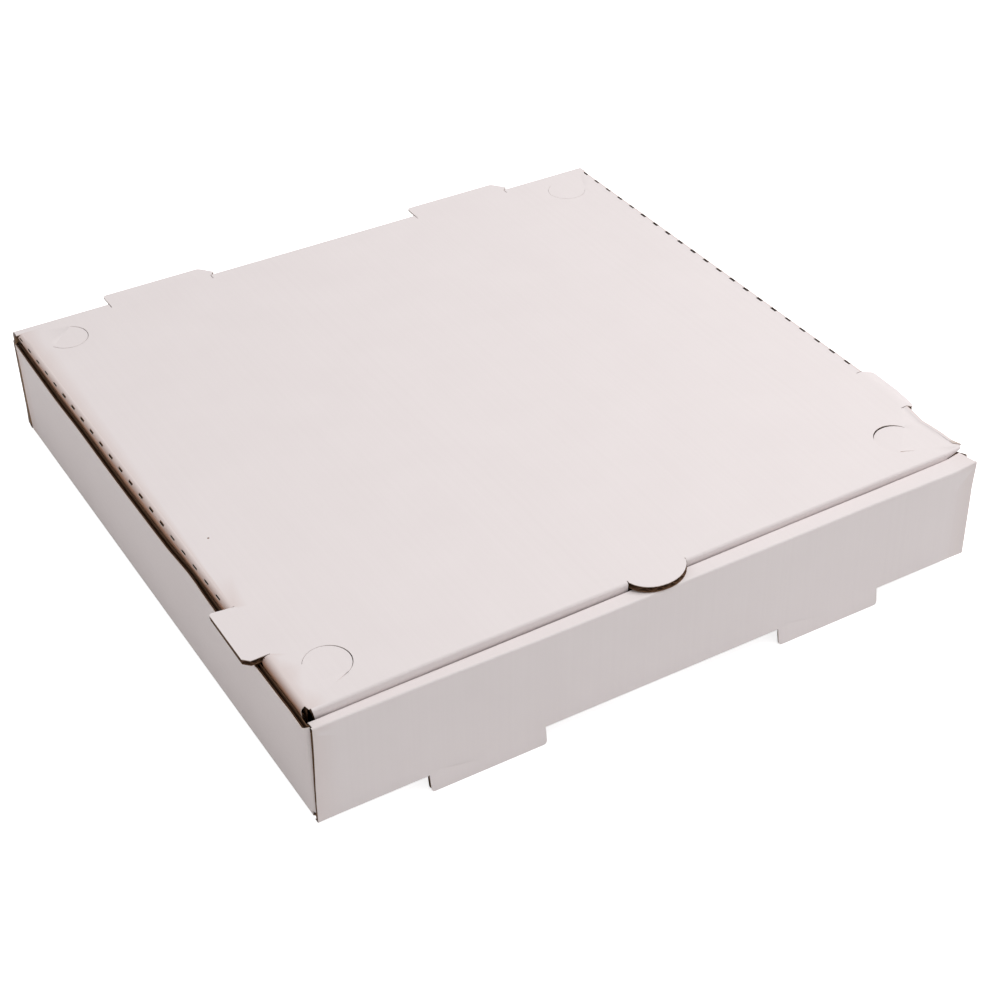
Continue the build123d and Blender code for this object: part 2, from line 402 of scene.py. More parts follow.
class Recipe(NodeTree):
    """A material under construction."""

    def __init__(self, name: str) -> None:
        """Starts an empty material with its output and surface shader."""
        self.material = bpy.data.materials.new(name)
        self.material.use_nodes = True
        super().__init__(self.material.node_tree)
        self.output = self.add("ShaderNodeOutputMaterial")
        self.shader = self.add("ShaderNodeBsdfPrincipled")
        self.link(self.shader, "BSDF", self.output, "Surface")

    def noise(self, scale: float, detail: float) -> Node:
        """Adds noise on the piece's own coordinates.

        Args:
            scale: Noise scale, per metre.
            detail: Noise detail.

        Returns:
            The noise node.
        """
        place = self.add("ShaderNodeTexCoord")
        noise = self.add("ShaderNodeTexNoise")
        noise.inputs["Scale"].default_value = scale
        noise.inputs["Detail"].default_value = detail
        self.link(place, "Object", noise, "Vector")
        return noise

    def stored(self, name: str) -> Node:
        """Adds a node that reads a value stored on the piece."""
        return self.add("ShaderNodeAttribute", attribute_name=name)

    def across(self, scale: float) -> Node:
        """Adds a vector that changes only across the flutes.

        Args:
            scale: How often it repeats, per metre.

        Returns:
            The node whose Vector output holds it.
        """
        times = self.add("ShaderNodeMath", operation="MULTIPLY")
        times.inputs[1].default_value = scale
        vector = self.add("ShaderNodeCombineXYZ")
        self.link(self.stored("across"), "Fac", times, 0)
        self.link(times, "Value", vector, "X")
        return vector

    def tones(self, source: Node, low: float, high: float, shade: tuple, pale: tuple) -> Node:
        """Turns a node's Fac output to two tones of a colour.

        Args:
            source: The node that feeds it.
            low: The value from which the shade gives way.
            high: The value from which the colour is pale.
            shade: The darker colour.
            pale: The lighter colour.

        Returns:
            The ramp node.
        """
        ramp = self.add("ShaderNodeValToRGB")
        for stop, place, colour in zip(ramp.color_ramp.elements, (low, high), (shade, pale)):
            stop.position = place
            stop.color = (*colour, 1.0)
        self.link(source, "Fac", ramp, "Fac")
        return ramp

    def mix(self, kind: str, factor: float) -> Node:
        """Adds a colour mix node of the given blend type and factor."""
        node = self.add("ShaderNodeMix", data_type="RGBA", blend_type=kind)
        node.inputs[FACTOR].default_value = factor
        return node

    def over(self, below: Node, colour: tuple, share: Node, out: str) -> Node:
        """Lays a plain colour over a mix node's result where a value is high.

        Args:
            below: The mix node below.
            colour: The colour on top.
            share: The node that holds the value.
            out: The name of its output.

        Returns:
            The new mix node.
        """
        node = self.mix("MIX", 0.0)
        self.link(share, out, node, FACTOR)
        self.link(below, MIXED, node, FIRST)
        node.inputs[SECOND].default_value = (*colour, 1.0)
        return node

    def bump(self, height: Node, strength: float, distance: float) -> Node:
        """Adds a bump from a node's Fac output.

        Args:
            height: The node that gives the height.
            strength: From 0 to 1.
            distance: The full height, in metres.

        Returns:
            The bump node.
        """
        bump = self.add("ShaderNodeBump")
        bump.inputs["Strength"].default_value = strength
        bump.inputs["Distance"].default_value = distance
        self.link(height, "Fac", bump, "Height")
        return bump

    def finish(self, colour: Node, roughness: float, specular: float, bump: Node) -> None:
        """Connects the surface shader.

        Args:
            colour: The mix node with the colour.
            roughness: Of the surface.
            specular: Its specular level.
            bump: The last bump node.
        """
        self.link(colour, MIXED, self.shader, "Base Color")
        self.shader.inputs["Roughness"].default_value = roughness
        self.shader.inputs["Specular IOR Level"].default_value = specular
        self.link(bump, "Normal", self.shader, "Normal")


@dataclass(frozen=True)
class WhiteLiner:
    """White coated paper: matt, faintly streaked along the flutes, with painted shade on the lid's side
    flaps and a brown tint on the tray's folds.

    A noise is its scale, per metre, and its detail. A span is the values from
    which the shade gives way and the colour is pale.
    """

    name: str = "white_liner"
    pale: tuple = (0.84, 0.772, 0.768)
    shade: tuple = (0.826, 0.757, 0.753)
    cloud: tuple = (0.965, 0.96, 0.96)
    cloud_share: float = 0.6
    cloud_noise: tuple = (28.0, 4.0)
    cloud_span: tuple = (0.25, 0.75)
    # Brown laid on the folds: painted shade and bounce light on the lid's side flaps, a brown tint on the
    # tray's folds.
    fold_tint_and_shade: tuple = (0.47, 0.25, 0.16)
    speck: tuple = (0.22, 0.13, 0.09)
    speck_place: Point = (-0.166, -0.0487, 0.0699)
    speck_size: float = 0.55 * MM
    streaks_per_metre: float = 420.0
    streak_detail: float = 3.0
    streak_span: tuple = (0.3, 0.7)
    roughness: float = 0.62
    specular: float = 0.25
    washboard: float = 0.05
    washboard_height: float = 0.2 * MM
    grain: float = 0.10
    grain_noise: tuple = (1400.0, 3.0)
    grain_height: float = 0.05 * MM

    def make(self) -> bpy.types.Material:
        """Builds the material.

        Returns:
            The material.
        """
        recipe = Recipe(self.name)
        streaks = recipe.add("ShaderNodeTexNoise", noise_dimensions="3D")
        streaks.inputs["Scale"].default_value = 1.0
        streaks.inputs["Detail"].default_value = self.streak_detail
        recipe.link(recipe.across(self.streaks_per_metre), "Vector", streaks, "Vector")
        tone = recipe.tones(streaks, *self.streak_span, self.shade, self.pale)
        clouds = recipe.tones(recipe.noise(*self.cloud_noise), *self.cloud_span, self.cloud, WHITE)
        paper = recipe.mix("MULTIPLY", self.cloud_share)
        recipe.link(tone, "Color", paper, FIRST)
        recipe.link(clouds, "Color", paper, SECOND)
        # Painted shade on the lid's flaps and a brown tint on the tray's folds, by the stored crease value.
        shaded_and_tinted_folds = recipe.over(paper, self.fold_tint_and_shade, recipe.stored("crease"), "Fac")
        spotted = recipe.over(shaded_and_tinted_folds, self.speck, self.spot(recipe), "Value")
        bands = recipe.add("ShaderNodeTexWave", wave_type="BANDS", bands_direction="X")
        bands.inputs["Scale"].default_value = 1.0
        bands.inputs["Distortion"].default_value = 0.0
        recipe.link(recipe.across(BAND_PERIOD / BOARD.pitch), "Vector", bands, "Vector")
        ripple = recipe.bump(bands, self.washboard, self.washboard_height)
        grain = recipe.bump(recipe.noise(*self.grain_noise), self.grain, self.grain_height)
        recipe.link(ripple, "Normal", grain, "Normal")
        recipe.finish(spotted, self.roughness, self.specular, grain)
        return recipe.material

    def spot(self, recipe: Recipe) -> Node:
        """Adds a value that is 1 in the small dark speck and 0 around it.

        Args:
            recipe: The material under construction.

        Returns:
            The node whose Value output holds it.
        """
        place = recipe.add("ShaderNodeTexCoord")
        away = recipe.add("ShaderNodeVectorMath", operation="DISTANCE")
        away.inputs[1].default_value = self.speck_place
        inside = recipe.add("ShaderNodeMath", operation="LESS_THAN")
        inside.inputs[1].default_value = self.speck_size
        recipe.link(place, "Object", away, 0)
        recipe.link(away, "Value", inside, 0)
        return inside


@dataclass(frozen=True)
class KraftPaper:
    """Unbleached brown paper with fibres and faint clouds.

    A noise and the span are given as in WhiteLiner.
    """

    name: str = "kraft_liner"
    pale: tuple = (0.50, 0.335, 0.205)
    shade: tuple = (0.36, 0.225, 0.125)
    cloud: tuple = (0.86, 0.85, 0.83)
    cloud_share: float = 0.8
    cloud_noise: tuple = (35.0, 3.0)
    fibre_noise: tuple = (900.0, 6.0)
    span: tuple = (0.3, 0.7)
    roughness: float = 0.75
    specular: float = 0.2
    grain: float = 0.25
    grain_height: float = 0.08 * MM

    def make(self) -> bpy.types.Material:
        """Builds the material.

        Returns:
            The material.
        """
        recipe = Recipe(self.name)
        fibres = recipe.noise(*self.fibre_noise)
        tone = recipe.tones(fibres, *self.span, self.shade, self.pale)
        clouds = recipe.tones(recipe.noise(*self.cloud_noise), *self.span, self.cloud, WHITE)
        paper = recipe.mix("MULTIPLY", self.cloud_share)
        recipe.link(tone, "Color", paper, FIRST)
        recipe.link(clouds, "Color", paper, SECOND)
        grain = recipe.bump(fibres, self.grain, self.grain_height)
        recipe.finish(paper, self.roughness, self.specular, grain)
        return recipe.material


class Finishes:
    """The finishes of the box, made once and shared by its pieces."""

    def __init__(self) -> None:
        """Makes the materials."""
        self.white = WhiteLiner().make()
        self.kraft = KraftPaper().make()
        # Kraft colour darkened by painted shade, for the core in the flutes and for the cut edges.
        self.core = KraftPaper("shaded_kraft_medium", (0.14, 0.07, 0.036), (0.085, 0.042, 0.022)).make()
        self.edge = KraftPaper("shaded_kraft_cut_edge", (0.22, 0.12, 0.068), (0.14, 0.078, 0.044)).make()
        self.white_edge = KraftPaper("white_cut_edge", (0.74, 0.64, 0.59), (0.62, 0.52, 0.47)).make()


def ramp_between(value: float, low: float, high: float) -> float:
    """Returns 0 below low, 1 above high and a straight rise between them."""
    return min(1.0, max(0.0, (value - low) / (high - low)))


def blend_between(value: float, low: float, high: float) -> float:
    """Returns 0 below low, 1 above high and a smooth rise between them."""
    share = ramp_between(value, low, high)
    return share * share * (3 - 2 * share)


def table_value(table: Sequence[tuple[float, float]], place: float) -> float:
    """Reads a table of places and values, straight between its rows.

    Args:
        table: Rows of a place and its value, with rising places.
        place: Where to read it.

    Returns:
        The value there, or that of the end row past an end.
    """
    if place <= table[0][0]:
        return table[0][1]
    for (low, before), (high, after) in zip(table, table[1:]):
        if place <= high:
            return before + (after - before) * (place - low) / (high - low)
    return table[-1][1]


# How far each side wall's top, and the flap in it, lies to the right of the
# drawn one at a place along Y, both in millimetres.
LEFT_BOW = (
    (-183.0, 1.0), (-178.0, 0.6), (-173.0, 0.25), (-160.0, 0.0), (-130.0, -0.1),
    (-90.0, 0.35), (-78.5, 0.6), (-73.5, 0.7), (-66.0, 1.35), (-58.0, 0.95),
    (-39.0, 0.1), (-3.0, 0.0), (25.0, 0.0), (52.0, 0.25), (79.0, 0.55),
    (106.0, 0.3), (124.0, 0.55), (142.0, 0.85), (155.0, 1.0), (164.0, 1.25), (174.0, 1.6),
)
RIGHT_BOW = (
    (-183.0, -6.2), (-172.0, -5.8), (-165.0, -3.8), (-155.0, -2.2), (-145.0, -1.4),
    (-120.0, -0.6), (-100.0, 0.0),
)


@dataclass(frozen=True)
class Fold:
    """A fold's outer skin, and the tighter corner that it has on the real box.

    The turn table gives the real angle for a drawn one, in degrees. A real angle
    below zero lies on the flat before the fold.
    """

    radius: float
    bend: float = 90.0
    turn: tuple = ((-90, -90), (180, 180))
    skin: float = 0.02 * MM
    overlap: float = 0.65 * MM

    @property
    def inset(self) -> float:
        """How far the drawn fold's centre lies in from its corner."""
        return BOARD.fold * math.tan(math.radians(self.bend / 2))

    def __call__(self, side: float, top: float) -> tuple[float, float]:
        """Draws a place on the fold towards the corner.

        Args:
            side: How far the place lies out from the fold's centre, to the side of the corner.
            top: How far it lies out from there at right angles.

        Returns:
            Both distances on the tighter fold, or as they were off the fold.
        """
        on_fold = abs(math.hypot(side, top) - BOARD.fold) < self.skin
        if not on_fold or min(side, top) < -self.overlap:
            return side, top
        angle = math.radians(table_value(self.turn, math.degrees(math.atan2(side, top))))
        slack = BOARD.fold - self.radius
        reach = slack * math.tan(math.radians(self.bend / 2))
        if angle < 0:
            return reach + self.radius * angle, BOARD.fold
        return reach + self.radius * math.sin(angle), slack + self.radius * math.cos(angle)


@dataclass(frozen=True)
class Vent:
    """One half-moon slit in the lid, and where it gapes.

    The gape table gives how open the slit is for an angle round it, in degrees.
    """

    side: int
    end: int
    gape: tuple
    sink: float = 0.0
    inset: float = 23.0 * MM
    radius: float = 11.0 * MM
    slit: float = 0.4 * MM
    hinge: float = 0.3

    def __call__(self, point: Vector) -> Vector:
        """Closes the slit where its edges meet, and lowers its flap.

        Args:
            point: A place on the drawn lid.

        Returns:
            The same place on the real lid.
        """
        rim = BOX.lid_front if self.end > 0 else BOX.rear
        centre_y = rim + self.end * self.inset
        across, along = point.x - self.side * (BOX.lid_half - self.inset), point.y - centre_y
        reach = math.hypot(across, along)
        moved = point.copy()
        if reach < self.radius:
            forward = (self.end * along - self.side * across) / (math.sqrt(2) * self.radius)
            moved.z -= self.sink * max(0.0, (forward + self.hinge) / (1 + self.hinge))
        if abs(reach - self.radius) > self.slit:
            return moved
        bulge = math.atan2(self.end, -self.side)
        angle = math.atan2(along, across) - bulge
        angle = (angle + math.pi) % (2 * math.pi) - math.pi
        new_reach = self.radius + (reach - self.radius) * table_value(self.gape, math.degrees(angle))
        return moved + Vector((across, along, 0)) * (new_reach / reach - 1)


def level(point: Vector) -> Vector:
    """Keeps a place between the box's underside and its top."""
    return Vector((point.x, point.y, min(BOX.lid_top, max(0.0, point.z))))


VENTS = (
    Vent(-1, 1, ((-107, 0.2), (-80, 0.6), (-50, 1.0), (0, 0.9), (30, 0.45), (60, 0.25), (107, 0.4))),
    Vent(1, 1, ((-107, 0.5), (-75, 0.8), (-50, 1.0), (0, 0.8), (30, 0.4), (60, 0.2), (107, 0.1)), 0.8 * MM),
    Vent(-1, -1, ((-107, 0.5), (-45, 0.4), (-15, 0.25), (30, 0.6), (60, 0.9), (90, 0.6), (107, 0.4))),
    Vent(1, -1, ((-107, 0.2), (-43, 0.3), (69, 0.3), (107, 0.2))),
)


@dataclass(frozen=True)
class LidShape:
    """How the real lid departs from the drawn one.

    The tables give millimetres, and the ear's bend degrees: the droop at a place
    along X, the dent and the bend at one along Y. A run is where a change starts
    and where it is full. A zone is how far a change reaches each way.
    """

    left_shift: float = -4.2 * MM
    right_shift: float = 2.3 * MM
    front_fold: Fold = Fold(1.2 * MM, 100)
    right_fold: Fold = Fold(1.2 * MM, 95, ((0, -62), (41.2, -50), (56.4, 18), (95, 95)))
    droop: tuple = (
        (-181.0, 1.4), (-150.0, 1.1), (-123.0, 1.0), (-53.0, 1.7), (34.0, 2.4),
        (68.0, 2.6), (127.0, 2.6), (168.0, 3.0), (176.0, 2.4), (181.0, 1.9),
    )
    droop_run: tuple = (100.0 * MM, 160.0 * MM)
    tuck_out: float = 0.5 * MM
    tuck_out_run: tuple = (0.5 * MM, 3.0 * MM)
    tuck_zone: float = 14.0 * MM
    tuck_reach: float = 3.5 * MM
    tuck_reach_run: tuple = (150.0 * MM, 168.0 * MM)
    bow_run: tuple = (1.0 * MM, 4.6 * MM)
    left_flap_in: float = 0.25 * MM
    right_flap_in: float = 0.1 * MM
    ear_bend: tuple = ((-134.0, 27.0), (-130.0, 24.0), (-118.0, 20.0), (-97.0, 22.0))
    ear_root: float = 2.6 * MM
    left_ear_shift: float = 1.5 * MM
    left_ear_zone: tuple = (2.0 * MM, 4.0 * MM)
    swing: float = 3.2 * MM
    swing_slant: float = 0.8
    swing_zone: tuple = (7.0 * MM, 3.0 * MM)
    crush: float = 0.7
    crush_reach: float = 2.5 * MM
    dent: tuple = ((-160.0, 0.0), (-153.0, 0.6), (-146.0, 1.5), (-138.0, 0.3), (-133.6, 0.0))
    dent_run: tuple = (168.0 * MM, 176.0 * MM)
    thumb_half: float = 17.0 * MM
    thumb_reach: float = 10.9 * MM
    thumb_zone: tuple = (8.0 * MM, 6.0 * MM, 4.0 * MM)
    thumb_fade: float = 7.0 * MM
    thumb_shift: float = 1.2 * MM
    thumb_squeeze: float = 0.015
    thumb_pull: float = 2.4 * MM
    thumb_drop: float = 1.3 * MM
    thumb_drop_run: tuple = (-0.4, 1.0)

    def __call__(self, point: Vector) -> Vector:
        """Moves a place on the lid to where it is on the real one.

        Args:
            point: The place on the drawn lid.

        Returns:
            The place on the real lid.
        """
        moved = point.copy()
        for rule in (*VENTS, self.fold, self.thumb, self.side_ears, self.rear_ears, self.flaps):
            moved = rule(moved)
        rear = BOX.rear - BOX.hinge_zone
        share = max(0.0, (rear - point.y) / (rear - BOX.lid_front))
        along = (point.x + BOX.lid_half) / (2 * BOX.lid_half)
        moved.y += (self.left_shift + (self.right_shift - self.left_shift) * along) * share
        moved.z -= table_value(self.droop, point.x / MM) * MM * ramp_between(-point.y, *self.droop_run)
        return moved

    def fold(self, point: Vector) -> Vector:
        """Tightens the front crease and the right one.

        Args:
            point: A place on the lid.

        Returns:
            The place with both creases tightened.
        """
        height = BOX.lid_top - BOARD.fold
        centre = BOX.lid_front + self.front_fold.inset
        out, top = self.front_fold(centre - point.y, point.z - height)
        point = Vector((point.x, centre - out, height + top))
        centre = BOX.lid_half - self.right_fold.inset
        out, top = self.right_fold(point.x - centre, point.z - height)
        return Vector((centre + out, point.y, height + top))

    def thumb(self, point: Vector) -> Vector:
        """Bends the thumb tab down on the strip below it.

        Args:
            point: A place on the lid.

        Returns:
            The place with the thumb tab bent.
        """
        beside, behind, below = self.thumb_zone
        if point.y > BOX.lid_front + behind or abs(point.x) > self.thumb_half + beside:
            return point
        near = 1 - blend_between(abs(point.x), self.thumb_half, self.thumb_half + self.thumb_fade)
        reach = ramp_between(BOX.lid_front - point.y, 0.0, self.thumb_reach)
        sunk = blend_between(reach, *self.thumb_drop_run) * self.thumb_drop
        return Vector((
            point.x - near * (self.thumb_shift + self.thumb_squeeze * point.x),
            point.y + reach * self.thumb_pull,
            point.z - sunk * (point.z > BOX.lid_top - below),
        ))

    def side_ears(self, point: Vector) -> Vector:
        """Bends the right ear down and squares the left one.

        Args:
            point: A place on the lid.

        Returns:
            The place with both side ears as they are.
        """
        moved = point.copy()
        out = abs(point.x) - BOX.lid_half + BOARD.fold
        if point.x > 0 and out > NEAR and BOX.ear_front - NEAR < point.y < BOX.ear_rear + NEAR:
            angle = math.radians(table_value(self.ear_bend, point.y / MM))
            bent = max(0.0, out - self.ear_root)
            moved.x -= bent * (1 - math.cos(angle))
            moved.z -= bent * math.sin(angle)
        beyond, before = self.left_ear_zone
        if point.x < 0 and out > BOARD.fold + beyond and point.y > BOX.ear_rear - before:
            moved.y += self.left_ear_shift
        return moved

    def rear_ears(self, point: Vector) -> Vector:
        """Slants the rear ears' right ends and crushes their board at both ends.

        Args:
            point: A place on the lid.

        Returns:
            The place with both rear ears as they are.
        """
        moved = point.copy()
        width, root = self.swing_zone
        past = point.y - BOX.rear
        onward = ramp_between(past, -root, 0.0)
        for middle in (-BOX.tab_offset, BOX.tab_offset):
            across = point.x - middle
            end = max(0.0, 1 - abs(across - BOX.tab_half) / width)
            moved.x += end * (self.swing * onward - self.swing_slant * max(0.0, past))
            rim = max(0.0, 1 - abs(abs(across) - BOX.tab_half) / self.crush_reach)
            on_ear = abs(across) < BOX.tab_half + 2 * NEAR
            moved.z += self.crush * rim * onward * on_ear * (BOX.lid_top - point.z)
        return moved

    def flaps(self, point: Vector) -> Vector:
        """Sets the tuck flaps close to the walls and bows them with those.

        Args:
            point: A place on the lid.

        Returns:
            The place with the flaps as they are and the corner dented.
        """
        moved = point.copy()
        depth = BOX.lid_top - point.z
        if point.y < BOX.ear_front - NEAR:
            moved.z -= table_value(self.dent, point.y / MM) * MM * ramp_between(point.x, *self.dent_run)
        if point.y < BOX.lid_front + BOX.lid_front_crease:
            moved.x += self.tuck_reach * blend_between(point.x, *self.tuck_reach_run)
        if abs(point.x) < BOX.lid_half - BOX.side_crease:
            if point.y < BOX.lid_front + self.tuck_zone:
                moved.y -= self.tuck_out * blend_between(depth, *self.tuck_out_run)
            return moved
        if point.x < 0:
            bow = table_value(LEFT_BOW, point.y / MM) * MM + self.left_flap_in
        else:
            bow = table_value(RIGHT_BOW, point.y / MM) * MM - self.right_flap_in
        moved.x += bow * blend_between(depth, *self.bow_run)
        return moved


@dataclass(frozen=True)
class TrayShape:
    """How the real tray departs from the drawn one.

    The tables give how far back the front wall's top edges lie, at a place along
    X, both in millimetres. Each pair is where a change starts and where it is full.
    """

    front_bow: tuple = (
        (-181.0, -0.6), (-128.0, -0.5), (-58.0, -1.5), (28.0, -0.6), (62.0, -0.5),
        (121.0, 0.3), (158.0, 0.0),
    )
    roll_bow: tuple = (
        (-181.0, -4.7), (-171.0, -4.5), (-159.0, -4.0), (-123.0, -3.6), (-53.0, -2.6),
        (34.0, -1.0), (68.0, -0.15), (128.0, 0.7), (166.0, 1.75), (181.0, 2.1),
    )
    wall_end: float = 4.0 * MM
    roll_slack: float = 0.3 * MM
    roll_drop: float = 1.5 * MM
    roll_drop_back: tuple = (-174.2 * MM, -170.0 * MM)
    roll_drop_up: tuple = (30.0 * MM, 60.0 * MM)
    roll_lift: float = 0.9
    roll_lift_run: tuple = (168.0 * MM, 179.5 * MM)
    roll_end_reach: float = 5.8 * MM
    roll_end_share: float = 0.15
    roll_end_run: tuple = (160.0 * MM, 175.0 * MM)
    roll_end_up: tuple = (58.0 * MM, 61.0 * MM)
    crisp: Fold = Fold(1.0 * MM)
    foot_flare: float = 1.5 * MM
    corner_crush: float = 1.3 * MM
    corner_run: tuple = (8.0 * MM, 3.0 * MM)
    corner_depth: tuple = (6.0 * MM, 14.0 * MM)
    rear_spread: float = 0.5 * MM

    def __call__(self, point: Vector) -> Vector:
        """Moves a place on the tray to where it is on the real one.

        Args:
            point: The place on the drawn tray.

        Returns:
            The place on the real tray.
        """
        moved = self.fold(point)
        height = blend_between(point.z, BOX.base_low + self.wall_end, BOX.front_top - self.wall_end)
        behind = moved.y - BOX.front
        moved += self.front(point, behind, height)
        if point.y > BOX.rear - BOARD.thickness - NEAR / 2:
            moved.x *= 1 + height * self.rear_spread / BOX.half_width
        elif point.x < -BOX.half_width + BOX.side_crease:
            moved.x += table_value(LEFT_BOW, point.y / MM) * MM * height
        elif point.x > BOX.half_width - BOX.side_crease and behind > BOARD.thickness + NEAR:
            moved.x += table_value(RIGHT_BOW, point.y / MM) * MM * height
        return moved

    def front(self, point: Vector, behind: float, height: float) -> Vector:
        """Bows the front wall, lowers its strip, crushes its corners and flares its feet.

        Args:
            point: A place on the drawn tray.
            behind: How far it lies behind the wall's face.
            height: How far up the wall it is, from 0 to 1.

        Returns:
            How far the place moves.
        """
        x, y, z = 0.0, 0.0, 0.0
        if behind < BOX.strip_depth + self.roll_slack:
            share = ramp_between(behind, self.crisp.radius, BOX.strip_depth)
            front = table_value(self.front_bow, point.x / MM) * MM
            roll = table_value(self.roll_bow, point.x / MM) * MM
            y += height * (front * (1 - share) + roll * share)
            end = blend_between(point.x, *self.roll_end_run) * blend_between(point.z, *self.roll_end_up)
            x += self.roll_end_reach * end * (self.roll_end_share + (1 - self.roll_end_share) * share)
        drop = 1 - blend_between(point.y, *self.roll_drop_back)
        drop *= 1 - self.roll_lift * ramp_between(point.x, *self.roll_lift_run)
        z -= self.roll_drop * drop * blend_between(point.z, *self.roll_drop_up)
        start, full = self.corner_run
        corner = blend_between(abs(point.x), BOX.half_width - start, BOX.half_width - full)
        layer = ramp_between(behind, 0.0, BOARD.thickness) * (1 - blend_between(behind, *self.corner_depth))
        y -= self.corner_crush * corner * layer * (1 - height)
        if point.z < BOX.base_low and behind < BOARD.thickness + NEAR:
            y -= self.foot_flare * (1 - point.z / BOX.base_low)
        return Vector((x, y, z))

    def fold(self, point: Vector) -> Vector:
        """Tightens the creases that show a crisp outline.

        Args:
            point: A place on the drawn tray.

        Returns:
            The place with those creases tightened.
        """
        front, side = BOX.front + BOARD.fold, BOX.half_width - BOARD.fold
        high, low = BOX.front_top - BOARD.fold, BOX.base_low + BOARD.fold
        out, top = self.crisp(front - point.y, point.z - high)
        point = Vector((point.x, front - out, high + top))
        roll = BOX.front + BOX.strip_depth - BOARD.fold
        out, top = self.crisp(point.y - roll, point.z - high)
        point = Vector((point.x, roll + out, high + top))
        out, bottom = self.crisp(front - point.y, low - point.z)
        point = Vector((point.x, front - out, low - bottom))
        out, bottom = self.crisp(abs(point.x) - side, low - point.z)
        return Vector((math.copysign(side + out, point.x), point.y, low - bottom))


@dataclass(frozen=True)
class FlutedSheet:
    """A flat run of the board's wavy core.

    The sheet's middle is at centre, its waves follow each other along across,
    and its flutes run along the direction named along.
    """

    centre: Point
    across: Point
    along: Point
    width: float
    length: float
    rows: int = 4
    points_per_wave: int = 10
    clearance: float = 0.02 * MM

    def build(self) -> Piece:
        """Makes the sheet from a grid.

        Returns:
            The sheet, in place and with its thickness.
        """
        columns = round(self.width / BOARD.pitch * self.points_per_wave)
        sheet = flat_grid(columns, self.rows, self.width, self.length)
        height = (BOARD.thickness - 2 * BOARD.liner - BOARD.medium) / 2 - self.clearance
        u, v = Vector(self.across).normalized(), Vector(self.along).normalized()
        n = u.cross(v)
        middle = Vector(self.centre)
        first = middle.dot(u)

        def wave(point: Vector) -> Vector:
            """Lifts the flat grid to its waves and sets it in place."""
            rise = height * math.sin(2 * math.pi * (point.x + first) / BOARD.pitch)
            return middle + u * point.x + v * point.y + n * (rise + BOARD.medium / 2)

        reshape(sheet, wave)
        solidify(sheet, BOARD.medium)
        return sheet


class Shell:
    """The liners and the core of one of the box's two bodies.

    A seed is a place on one side of the board and the direction it faces there.
    The panel cuts are places along X. The limits are what still counts as facing
    the seed's way, as a cosine, and the sharpest step round a fold, as an angle.
    """

    body: str
    white_seed: Seed
    kraft_seed: Seed
    slice_core = False
    panel_cuts = steps(-168 * MM, 168 * MM, 15)
    facing_limit = 0.99
    fold_limit = math.radians(60)

    def __init__(self, finishes: Finishes, shape: Rule) -> None:
        """Keeps the finishes and the rule of its real shape."""
        self.finishes = finishes
        self.shape = shape

    def side_of_sheet(self, solid: Piece, seed: Seed, name: str) -> Piece:
        """Takes one side of the board off a solid, round all its folds.

        Args:
            solid: The copied solid.
            seed: A place on that side and the direction it faces.
            name: The name of the new surface.

        Returns:
            The surface.
        """
        place, facing = Vector(seed[0]), Vector(seed[1])
        nearest = min(
            (face for face in solid.data.polygons if face.normal.dot(facing) > self.facing_limit),
            key=lambda face: (face.center - place).length,
        ).index
        edit(solid, "FACE", "DESELECT")
        object_mode()
        solid.data.polygons[nearest].select = True
        bpy.ops.object.mode_set(mode="EDIT")
        bpy.ops.mesh.faces_select_linked_flat(sharpness=self.fold_limit)
        bpy.ops.mesh.separate(type="SELECTED")
        object_mode()
        surface = next(o for o in bpy.context.selected_objects if o is not solid)
        surface.name = name
        return surface

    def across(self, point: Vector) -> float:
        """Returns how far a place lies across the flutes."""
        raise NotImplementedError

    def crease(self, point: Vector) -> float:
        """Returns how brown the white liner is at a place, from 0 to 1: painted shade on the lid's side
        flaps, a brown tint on the tray's folds.
        """
        raise NotImplementedError

    def slices(self) -> Cuts:
        """Returns the cuts that let the body be shaped."""
        raise NotImplementedError

    def beyond(self, centre: Vector, normal: Vector) -> bool:
        """Says whether a face belongs to the hinge's own crease."""
        raise NotImplementedError

    def sheets(self) -> list[FlutedSheet]:
        """Returns the flat runs of core."""
        raise NotImplementedError

    def build(self) -> list[Piece]:
        """Makes the liners and the core.

        Returns:
            The white liner, the brown liner and the core.
        """
        solid = merged_copy(self.body, f"{self.body}_solid")
        core = self.build_core(solid)
        for axis, places in self.slices():
            slice_up(solid, axis, places)
        delete_faces(solid, self.beyond)
        white = self.side_of_sheet(solid, self.white_seed, f"{self.body}_white_liner")
        kraft = self.side_of_sheet(solid, self.kraft_seed, f"{self.body}_kraft_liner")
        discard(solid)
        for liner in (white, kraft):
            store(liner, "across", self.across)
            store(liner, "crease", self.crease)
            reshape(liner, self.shape)
        dress(white, [self.finishes.white, self.finishes.white_edge])
        dress(kraft, [self.finishes.kraft, self.finishes.edge])
        for liner in (white, kraft):
            solidify(liner, BOARD.liner, 1)
            reshape(liner, level)
            smooth(liner)
            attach(liner, self.body)
        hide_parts(self.body)
        return [white, kraft, core]

    def build_core(self, solid: Piece) -> Piece:
        """Makes the wavy core inside a solid.

        Args:
            solid: The closed copy of the body.

        Returns:
            The core, as one object.
        """
        runs = []
        for sheet in self.sheets():
            run = sheet.build()
            keep_inside(run, solid)
            runs.append(run)
        core = join(runs, f"{self.body}_fluted_core")
        for axis, places in self.slices() if self.slice_core else ():
            slice_up(core, axis, places)
        reshape(core, self.shape)
        dress(core, [self.finishes.core])
        smooth(core)
        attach(core, self.body)
        return core


